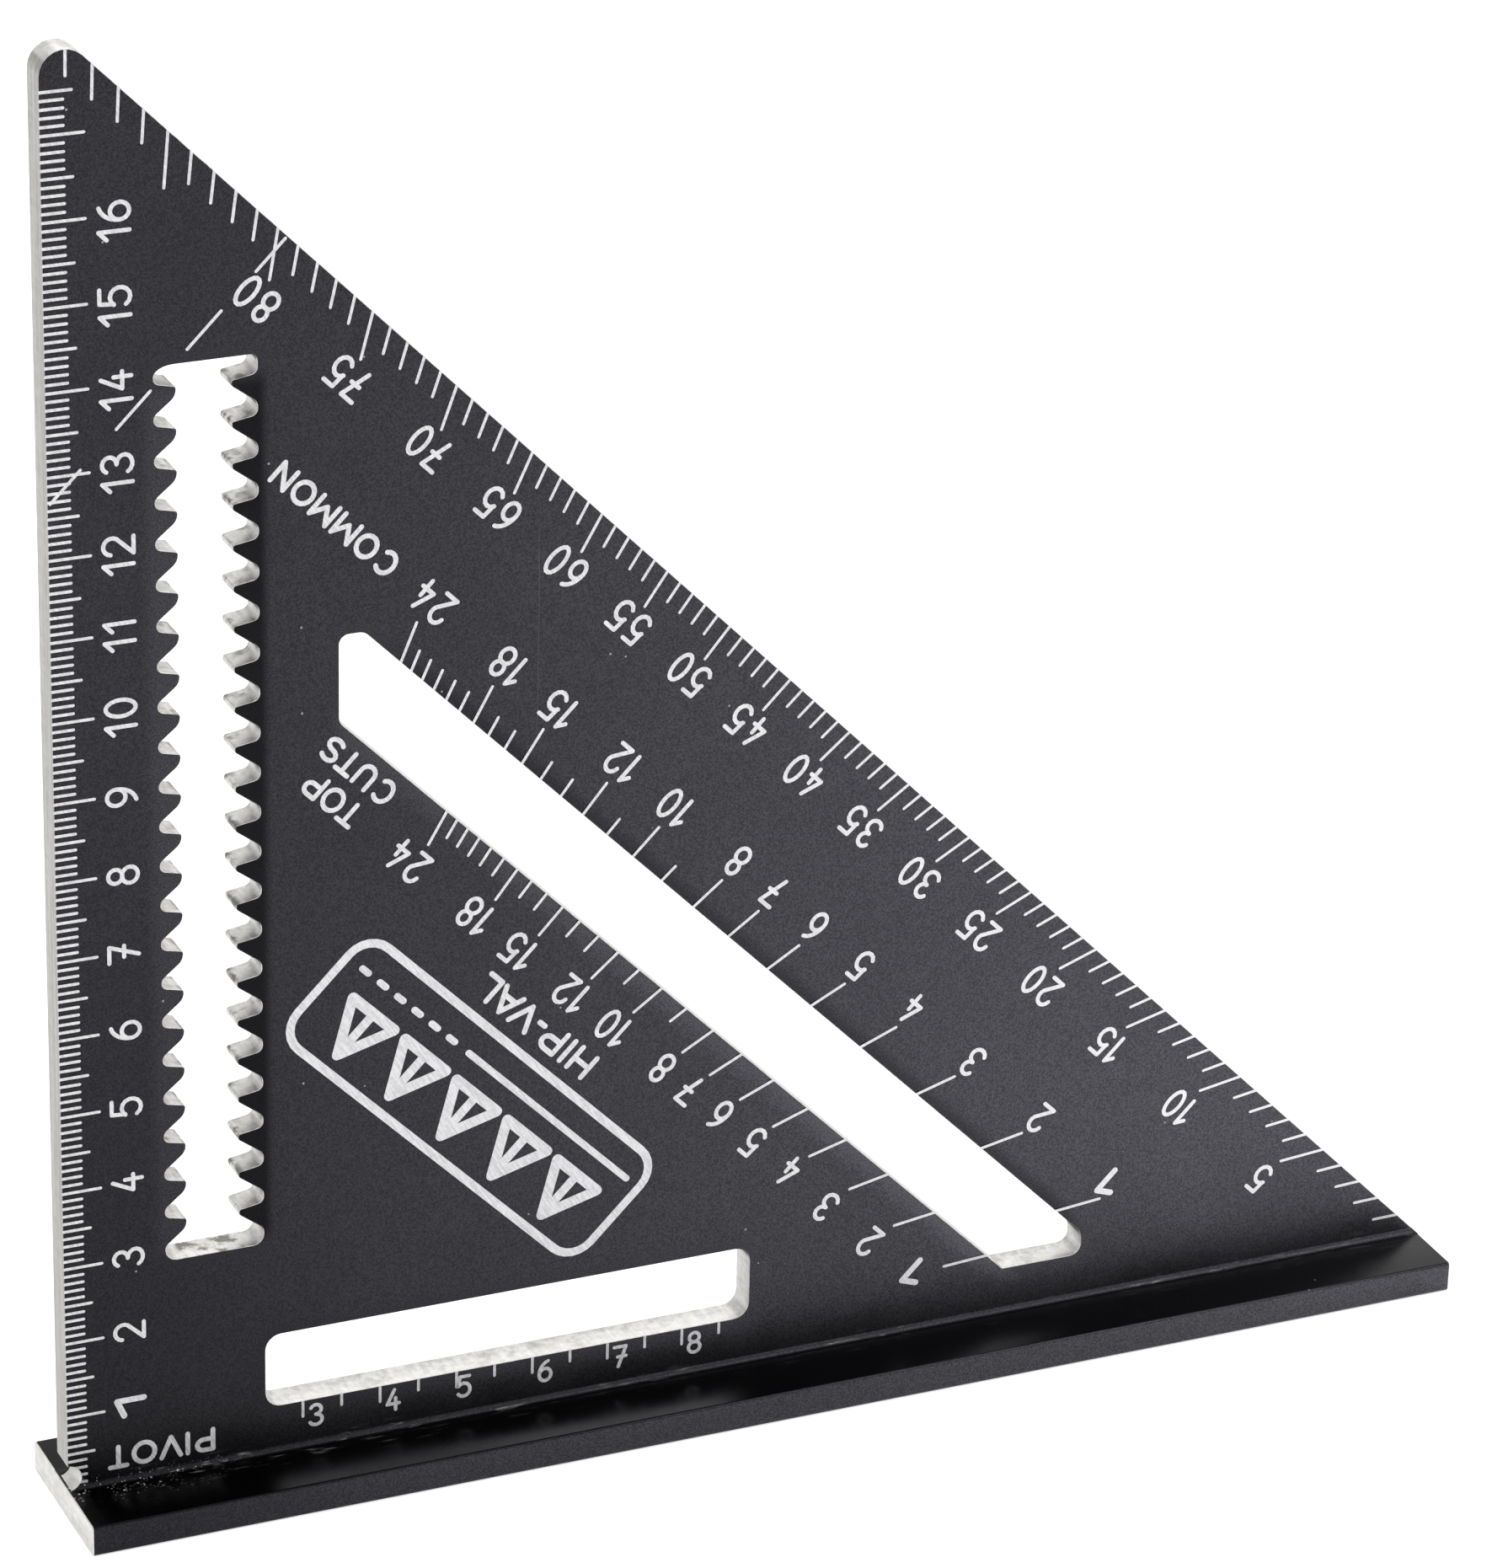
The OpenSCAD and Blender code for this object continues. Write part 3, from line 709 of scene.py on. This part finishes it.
@dataclass(frozen=True)
class MilledFinish:
    """Bare metal of the scales, numbers and words, with the cutter's close lines."""

    name: str = "milled_marks"
    light: Colour = (0.72, 0.715, 0.73)
    dark: Colour = (0.48, 0.475, 0.49)
    # Painted light: the marks are mixed towards this colour to the right.
    painted_light_colour: Colour = (0.86, 0.855, 0.87)
    roughness: Span = (0.42, 0.55)
    metallic: float = 0.35
    grain_scale: float = 2600.0
    line_share: float = 0.55
    # Painted light, from this distance in millimetres to the right end, up to this share.
    painted_light_from: float = 60.0
    painted_light_share: float = 0.55
    bump_strength: float = 0.15
    bump_depth: float = 0.02

    def build(self, finishes: Finishes) -> bpy.types.Material:
        """Builds the material from slanting fine lines and a little grain, with painted light
        making it paler to the right.

        Args:
            finishes: The shared node groups.

        Returns:
            The material.
        """
        c = finishes.start(self.name)
        g = c.g
        speckle = finishes.use(c, finishes.speckle, grain_scale=self.grain_scale)
        hatch = g.stretched(c.where, (1.0, 1.0, 0.08), 32.0)
        lines = g.ramp(g.noise(hatch, 5200.0, 1.0, 0.4), 0.35, 0.65)
        tone = g.average(lines, speckle["Grain"], self.line_share)
        # Painted light, growing towards the right end.
        painted_light_rightwards = g.ramp(c.x, self.painted_light_from * MM, LENGTH, 0.0, self.painted_light_share)
        colour = g.mix(tone, rgba(*self.dark), rgba(*self.light))
        g.feed(c.shader, "Base Color", g.mix(painted_light_rightwards, colour, rgba(*self.painted_light_colour)))
        c.shader.inputs["Metallic"].default_value = self.metallic
        g.feed(c.shader, "Roughness", g.ramp(tone, 0.0, 1.0, *self.roughness))
        g.feed(c.shader, "Normal", g.bump(tone, self.bump_strength, self.bump_depth))
        return c.material


# ---- Outlines from the CAD nodes ----------------------------------------------------------


def welded(node: str) -> tuple[np.ndarray, np.ndarray]:
    """Reads a CAD node's mesh with its doubled points joined.

    Args:
        node: The CAD node's name.

    Returns:
        Points (n, 3) in metres and triangles (m, 3).
    """
    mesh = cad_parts[node].data
    points = np.empty(len(mesh.vertices) * 3)
    mesh.vertices.foreach_get("co", points)
    points = points.reshape(-1, 3)
    mesh.calc_loop_triangles()
    corners = np.empty(len(mesh.loop_triangles) * 3, dtype=np.int64)
    mesh.loop_triangles.foreach_get("vertices", corners)
    _, first, back = np.unique(np.round(points, 6), axis=0, return_index=True, return_inverse=True)
    return points[first], back.reshape(-1)[corners].reshape(-1, 3)


def front_loops(node: str) -> list[np.ndarray]:
    """Finds the border loops of a node's flat front face.

    A border edge belongs to just one triangle of the face. Following the edges from point to
    point gives each loop, with the metal on its left when seen from the front.

    Args:
        node: The CAD node's name.

    Returns:
        Loops of (x, z) points.
    """
    points, triangles = welded(node)
    on_plane = np.abs(points[:, 1] - points[:, 1].min()) < SAME_PLANE
    triangles = triangles[on_plane[triangles].all(axis=1)]
    edges = np.concatenate([triangles[:, [0, 1]], triangles[:, [1, 2]], triangles[:, [2, 0]]])
    known = {(int(a), int(b)) for a, b in edges}
    onward = {a: b for a, b in known if (b, a) not in known}
    loops = []
    while onward:
        start, at = onward.popitem()
        walk = [start]
        while at != start:
            walk.append(at)
            at = onward.pop(at)
        loops.append(points[walk][:, [0, 2]])
    return loops


def loop_area(loop: np.ndarray) -> float:
    """Returns twice a loop's area: the sum of each point's cross product with the next."""
    after = np.roll(loop, -1, axis=0)
    return float(abs((loop[:, 0] * after[:, 1] - loop[:, 1] * after[:, 0]).sum()))


def left_normals(loop: np.ndarray, least_cosine: float = 0.38) -> np.ndarray:
    """Gives each point the direction into the metal, as long as keeps a parallel offset true.

    The mean of the two edge directions is turned a quarter to the left and divided by the cosine
    of half the turn. The cosine is limited, so that a sharp corner doesn't shoot out.

    Args:
        loop: A loop's points.
        least_cosine: The limit.

    Returns:
        A vector for each point.
    """
    ahead = np.roll(loop, -1, axis=0) - loop
    ahead /= np.linalg.norm(ahead, axis=1, keepdims=True)
    mean = ahead + np.roll(ahead, 1, axis=0)
    mean /= np.maximum(np.linalg.norm(mean, axis=1, keepdims=True), 1e-9)
    half = np.clip((mean * ahead).sum(axis=1, keepdims=True), least_cosine, 1.0)
    return np.stack([-mean[:, 1], mean[:, 0]], axis=1) / half


def edges_of(loops: list[np.ndarray]) -> tuple[np.ndarray, np.ndarray]:
    """Returns the start and end points of all the loops' edges."""
    return np.concatenate(loops), np.concatenate([np.roll(loop, -1, axis=0) for loop in loops])


def runs(count: int) -> list[np.ndarray]:
    """Returns the numbers of an array's rows in runs short enough to compare with every edge."""
    return np.array_split(np.arange(count), max(1, count // ROWS_AT_ONCE + 1))


def distance_to(points: np.ndarray, loops: list[np.ndarray]) -> np.ndarray:
    """Gives each point's distance to the nearest edge of some loops.

    The nearest place on an edge is the point's projection on it, kept between its two ends.

    Args:
        points: Points (n, 2).
        loops: The loops.

    Returns:
        A distance for each point.
    """
    starts, ends = edges_of(loops)
    edge = ends - starts
    length2 = np.maximum((edge**2).sum(axis=1), 1e-18)
    best = np.full(len(points), np.inf)
    for rows in runs(len(points)):
        apart = points[rows, None, :] - starts[None]
        along = np.clip((apart * edge[None]).sum(axis=2) / length2, 0.0, 1.0)
        gap = apart - along[..., None] * edge[None]
        best[rows] = np.sqrt((gap**2).sum(axis=2)).min(axis=1)
    return best


def inside(points: np.ndarray, loops: list[np.ndarray]) -> np.ndarray:
    """Tells which points lie in the metal.

    A ray to the right from such a point crosses the loops an odd number of times.

    Args:
        points: Points (n, 2).
        loops: The loops round the metal and round its holes.

    Returns:
        True or False for each point.
    """
    starts, ends = edges_of(loops)
    crossings = np.zeros(len(points), dtype=np.int64)
    run = ends[:, 0] - starts[:, 0]
    rise = np.where(ends[:, 1] == starts[:, 1], 1e-12, ends[:, 1] - starts[:, 1])
    for rows in runs(len(points)):
        u, v = points[rows, 0:1], points[rows, 1:2]
        spans = (starts[None, :, 1] > v) != (ends[None, :, 1] > v)
        cut = starts[None, :, 0] + (v - starts[None, :, 1]) * run[None] / rise[None]
        crossings[rows] = (spans & (u < cut)).sum(axis=1)
    return crossings % 2 == 1


def grid_points(low: np.ndarray, high: np.ndarray, step: float) -> np.ndarray:
    """Gives the points of a square grid over a rectangle.

    Args:
        low: The rectangle's lowest corner.
        high: Its highest corner.
        step: The grid's step; the first point is half a step inside.

    Returns:
        Points (n, 2).
    """
    u = np.arange(low[0] + step / 2, high[0], step)
    v = np.arange(low[1] + step / 2, high[1], step)
    return np.stack(np.meshgrid(u, v, indexing="ij"), axis=-1).reshape(-1, 2)


@dataclass
class Shell:
    """A mesh under way, made of blocks of points with their faces."""

    points: list[np.ndarray] = field(default_factory=list)
    faces: list[list[int]] = field(default_factory=list)
    skins: list[np.ndarray] = field(default_factory=list)
    count: int = 0

    def add(self, points: np.ndarray, faces: np.ndarray, skins: np.ndarray) -> None:
        """Adds a block.

        Args:
            points: Its points (n, 3).
            faces: Its faces, which number its own points from 0.
            skins: Its faces' material numbers.
        """
        self.points.append(points)
        self.faces += (faces + self.count).tolist()
        self.skins.append(skins)
        self.count += len(points)

    def finish(self, name: str, materials: list[bpy.types.Material]) -> bpy.types.Object:
        """Makes an object of the blocks.

        Args:
            name: The piece's name.
            materials: Its materials, in the order of Skin.

        Returns:
            The object, smooth shaded up to a sharp-edge angle.
        """
        mesh = bpy.data.meshes.new(name)
        mesh.from_pydata(np.concatenate(self.points).tolist(), [], self.faces)
        for material in materials:
            mesh.materials.append(material)
        skins = np.concatenate(self.skins).astype(np.int32)
        mesh.polygons.foreach_set("material_index", skins)
        mesh.polygons.foreach_set("use_smooth", np.ones(len(self.faces), dtype=bool))
        mesh.set_sharp_from_angle(angle=math.radians(36))
        mesh.update()
        made = bpy.data.objects.new(name, mesh)
        bpy.context.scene.collection.objects.link(made)
        return made


def weld(made: bpy.types.Object, gap: float) -> None:
    """Joins a mesh's doubled points and turns its faces outwards.

    Args:
        made: The object.
        gap: Points closer than this are joined.
    """
    work = bmesh.new()
    work.from_mesh(made.data)
    bmesh.ops.remove_doubles(work, verts=work.verts, dist=gap)
    bmesh.ops.recalc_face_normals(work, faces=work.faces)
    work.to_mesh(made.data)
    work.free()
    made.data.update()


# ---- The blade ----------------------------------------------------------------------------


@dataclass
class Blade:
    """The triangular plate: its faces are anodised, and its walls are bare.

    Its rims are rounded by rim, with a flat lip of anodised face inside them. The front face
    sinks by roll_depth beside the slots, over roll_width, on a grid of fine_step.
    """

    face: bpy.types.Material
    wall: bpy.types.Material
    rim: float = 0.07 * MM
    rim_steps: int = 3
    lip: float = 0.08 * MM
    roll_depth: float = 0.12 * MM
    roll_width: float = 2.8 * MM
    fine_step: float = 0.7 * MM
    fine_clearance: float = 0.45
    coarse_step: float = 4.0 * MM
    weld_gap: float = 0.0002 * MM

    def roll(self, points: np.ndarray, slots: list[np.ndarray]) -> np.ndarray:
        """Gives how far the face sinks: roll_depth (1 - distance / roll_width) squared."""
        left = np.clip(1.0 - distance_to(points, slots) / self.roll_width, 0.0, 1.0)
        return self.roll_depth * left**2

    def build(self) -> bpy.types.Object:
        """Builds the plate from its front outline.

        Each loop is carried round a quarter circle at both faces: ring i is moved into the metal
        by rim (1 - cos a) and towards the face by rim sin a. The faces between the last rings are
        triangulated with a fine grid beside the slots, where the front face sinks a little.

        Returns:
            The blade.
        """
        low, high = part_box("blade")
        loops = front_loops("blade")
        outer = int(np.argmax([loop_area(loop) for loop in loops]))
        slots = [loop for i, loop in enumerate(loops) if i != outer]
        turns = np.linspace(0.0, math.pi / 2, self.rim_steps + 1)
        shift = np.append(self.rim * (1 - np.cos(turns)), self.rim + self.lip)
        depth = np.append(self.rim * (1 - np.sin(turns)), 0.0)[:, None]
        shell = Shell()
        last_rings = []
        for loop in loops:
            rings = loop[None] + shift[:, None, None] * left_normals(loop)[None]
            x, z = rings[..., 0], rings[..., 1]
            sunk = self.roll(rings.reshape(-1, 2), slots).reshape(x.shape)
            front = np.stack([x, low.y + depth + sunk, z], axis=-1)
            rear = np.stack([x, np.broadcast_to(high.y - depth, x.shape), z], axis=-1)
            self.add_wall(shell, np.concatenate([front[::-1], rear]))
            last_rings.append(rings[-1])
        self.add_faces(shell, last_rings, slots, low.y, high.y)
        made = shell.finish("blade_plate", [self.face, self.wall])
        weld(made, self.weld_gap)
        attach(made, "root")
        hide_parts("blade")
        return made

    def add_wall(self, shell: Shell, grid: np.ndarray) -> None:
        """Adds one loop's wall and rims.

        Args:
            shell: The mesh, added to.
            grid: The rings' points (rings, n, 3), from the front lip to the rear lip. Only the
                two lips are anodised.
        """
        rings, n = grid.shape[:2]
        here = np.arange(rings * n).reshape(rings, n)
        ahead = np.roll(here, -1, axis=1)
        quads = np.stack([here[:-1], here[1:], ahead[1:], ahead[:-1]], axis=-1).reshape(-1, 4)
        ring = np.repeat(np.arange(rings - 1), n)
        bare = (ring > 0) & (ring < rings - 2)
        shell.add(grid.reshape(-1, 3), quads, np.where(bare, Skin.BARE, Skin.ANODISED))

    def add_faces(self, shell: Shell, rims: list[np.ndarray], slots: list[np.ndarray],
                  front_y: float, back_y: float) -> None:
        """Adds the front and back faces between the last rings.

        Args:
            shell: The mesh, added to.
            rims: The last ring of each loop.
            slots: The slots' outlines.
            front_y: Place of the front face.
            back_y: Place of the back face.
        """
        border = np.concatenate(rims)
        low, high = border.min(axis=0), border.max(axis=0)
        fine = grid_points(low, high, self.fine_step)
        clear = distance_to(fine, rims) > self.fine_clearance * self.fine_step
        fine = fine[inside(fine, rims) & clear]
        near = distance_to(fine, slots) < self.roll_width + self.fine_step
        coarse = grid_points(low, high, self.coarse_step)
        clear = inside(coarse, rims) & (distance_to(coarse, rims) > self.coarse_step / 2)
        clear &= distance_to(coarse, slots) > self.roll_width + 2 * self.fine_step
        flat = np.concatenate([border, fine[near], coarse[clear]])
        edges, start = [], 0
        for ring in rims:
            number = start + np.arange(len(ring))
            edges += np.stack([number, np.roll(number, -1)], axis=1).tolist()
            start += len(ring)
        made = delaunay_2d_cdt([Vector(p) for p in flat.tolist()], edges, [], 0, 1e-9)
        flat = np.array([tuple(p) for p in made[0]])
        triangles = np.array(made[2])
        triangles = triangles[inside(flat[triangles].mean(axis=1), rims)]
        skins = np.full(len(triangles), Skin.ANODISED)
        x, z = flat[:, 0], flat[:, 1]
        front = np.stack([x, front_y + self.roll(flat, slots), z], axis=1)
        shell.add(front, triangles, skins)
        back = np.stack([x, np.full(len(flat), back_y), z], axis=1)
        shell.add(back, triangles[:, ::-1], skins)


# ---- The fence ----------------------------------------------------------------------------


@dataclass
class Fence:
    """The T-shaped foot: long sides anodised, both sawn ends bare with a fine chamfer."""

    skin: bpy.types.Material
    bare: bpy.types.Material
    chamfer: float = 0.16 * MM
    flat_angle: float = 0.5
    smooth_angle: float = 30.0
    end_reach: float = 0.01 * MM
    end_tilt: float = 0.3

    def build(self) -> bpy.types.Object:
        """Builds the foot from the welded CAD mesh, with the edges of its two ends bevelled.

        Returns:
            The fence.
        """
        points, triangles = welded("fence")
        shell = Shell()
        shell.add(points, triangles, np.full(len(triangles), Skin.ANODISED))
        made = shell.finish("fence_foot", [self.skin, self.bare])
        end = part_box("fence")[1].x
        work = bmesh.new()
        work.from_mesh(made.data)
        bmesh.ops.dissolve_limit(work, angle_limit=math.radians(self.flat_angle),
                                 verts=work.verts, edges=work.edges)
        ends = [f for f in work.faces
                if abs(f.normal.x) > 0.999 and abs(f.calc_center_median().x) > end - self.end_reach]
        edges = {e for f in ends for e in f.edges}
        bmesh.ops.bevel(work, geom=list(edges), offset=self.chamfer, segments=2, profile=0.5,
                        affect="EDGES")
        for f in work.faces:
            at_end = abs(f.calc_center_median().x) > end - 2 * self.chamfer
            bare = abs(f.normal.x) > self.end_tilt and at_end
            f.material_index = Skin.BARE if bare else Skin.ANODISED
            f.smooth = True
        work.to_mesh(made.data)
        work.free()
        made.data.set_sharp_from_angle(angle=math.radians(self.smooth_angle))
        made.data.update()
        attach(made, "root")
        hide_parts("fence")
        return made


# ---- The marks ----------------------------------------------------------------------------


@dataclass
class Marks:
    """Every scale, number and word, kept as its CAD node with a milled finish."""

    milled: bpy.types.Material
    solid: tuple[str, ...] = ("blade", "fence")

    def dress(self) -> int:
        """Gives each mark its material and returns how many there are."""
        names = [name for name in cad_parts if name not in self.solid]
        for name in names:
            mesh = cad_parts[name].data
            mesh.materials.clear()
            mesh.materials.append(self.milled)
        return len(names)


# ---- Studio -------------------------------------------------------------------------------


@dataclass
class Studio:
    """A pale floor, soft light all round with broad panels, and the camera.

    Places and sizes are in metres. A panel has a name, a place and a power in watts.
    """

    eye: tuple[float, float, float] = (-0.30194, -0.66414, 0.40833)
    forward: tuple[float, float, float] = (0.37313, 0.83270, -0.40913)
    up: tuple[float, float, float] = (0.14432, 0.38351, 0.91219)
    lens: float = 152.87
    sensor: float = 36.0
    clip: tuple[float, float] = (0.01, 50.0)
    sky: float = 0.80
    glow: float = 0.45
    floor_half: float = 6.0
    panels: tuple[tuple, ...] = (("key_panel", (0.9, -0.5, 1.3), 9.0),
                                 ("rear_panel", (0.4, 0.9, 1.4), 8.0))
    panel_size: float = 1.2
    target: tuple[float, float, float] = (0.0, 0.0, 0.08)

    def build(self) -> None:
        """Builds the floor, the lights and the camera."""
        scene = bpy.context.scene
        scene.view_settings.view_transform = "Standard"
        self.floor()
        self.world()
        for name, at, power in self.panels:
            self.panel(name, at, power)
        self.camera()

    def floor(self) -> None:
        """Lays a matt white floor under the object."""
        material = bpy.data.materials.new("floor_white")
        material.use_nodes = True
        shader = material.node_tree.nodes["Principled BSDF"]
        shader.inputs["Base Color"].default_value = rgba(0.9, 0.9, 0.9)
        shader.inputs["Emission Color"].default_value = rgba(1.0, 1.0, 1.0)
        shader.inputs["Emission Strength"].default_value = self.glow
        shader.inputs["Roughness"].default_value = 0.9
        shader.inputs["Specular IOR Level"].default_value = 0.1
        half = self.floor_half
        corners = [(-half, -half, 0.0), (half, -half, 0.0), (half, half, 0.0), (-half, half, 0.0)]
        mesh = bpy.data.meshes.new("floor")
        mesh.from_pydata(corners, [], [(0, 1, 2, 3)])
        mesh.materials.append(material)
        made = bpy.data.objects.new("floor", mesh)
        bpy.context.scene.collection.objects.link(made)

    def world(self) -> None:
        """Fills the room with even white light."""
        world = bpy.data.worlds.new("studio")
        world.use_nodes = True
        back = world.node_tree.nodes["Background"]
        back.inputs["Color"].default_value = rgba(1.0, 1.0, 1.0)
        back.inputs["Strength"].default_value = self.sky
        bpy.context.scene.world = world

    def panel(self, name: str, at: tuple[float, float, float], power: float) -> None:
        """Hangs a square light panel that faces the object.

        Args:
            name: Its name.
            at: Its place in metres.
            power: Its power in watts.
        """
        light = bpy.data.lights.new(name, "AREA")
        light.size = self.panel_size
        light.energy = power
        made = bpy.data.objects.new(name, light)
        made.location = at
        made.rotation_mode = "QUATERNION"
        made.rotation_quaternion = (Vector(self.target) - Vector(at)).to_track_quat("-Z", "Y")
        bpy.context.scene.collection.objects.link(made)

    def camera(self) -> None:
        """Places the camera from its eye point, its line of sight and its up direction."""
        data = bpy.data.cameras.new("camera")
        data.sensor_fit = "AUTO"
        data.sensor_width = self.sensor
        data.lens = self.lens
        data.clip_start, data.clip_end = self.clip
        made = bpy.data.objects.new("camera", data)
        bpy.context.scene.collection.objects.link(made)
        ahead = Vector(self.forward).normalized()
        up = Vector(self.up).normalized()
        right = ahead.cross(up).normalized()
        up = right.cross(ahead)
        turn = Matrix((right, up, -ahead)).transposed()
        made.rotation_mode = "QUATERNION"
        made.rotation_quaternion = turn.to_quaternion()
        made.location = self.eye
        bpy.context.scene.camera = made


def main() -> None:
    """Builds the finishes, the two metal pieces, the marks and the studio."""
    logging.basicConfig(level=logging.INFO)
    finishes = Finishes()
    anodised = AnodisedFinish().build(finishes)
    cut = CutFinish().build(finishes)
    blade = Blade(anodised, cut).build()
    log.info("blade: %d faces", len(blade.data.polygons))
    # A glossier copy of the anodising for the fence, with painted shade: its colours are painted
    # nearer black and its reflection is dimmed on faces that look up.
    foot = AnodisedFinish(name="black_anodised_foot_painted_shade", dark=(0.0016, 0.0015, 0.0018),
                          light=(0.0052, 0.0050, 0.0060), roughness=(0.22, 0.32),
                          sheen_and_painted_light=(0.034, 0.059), painted_top_sheen=0.22)
    fence = Fence(foot.build(finishes), cut).build()
    log.info("fence: %d faces", len(fence.data.polygons))
    count = Marks(MilledFinish().build(finishes)).dress()
    log.info("marks: %d nodes", count)
    Studio().build()


if __name__ == "__main__":
    main()
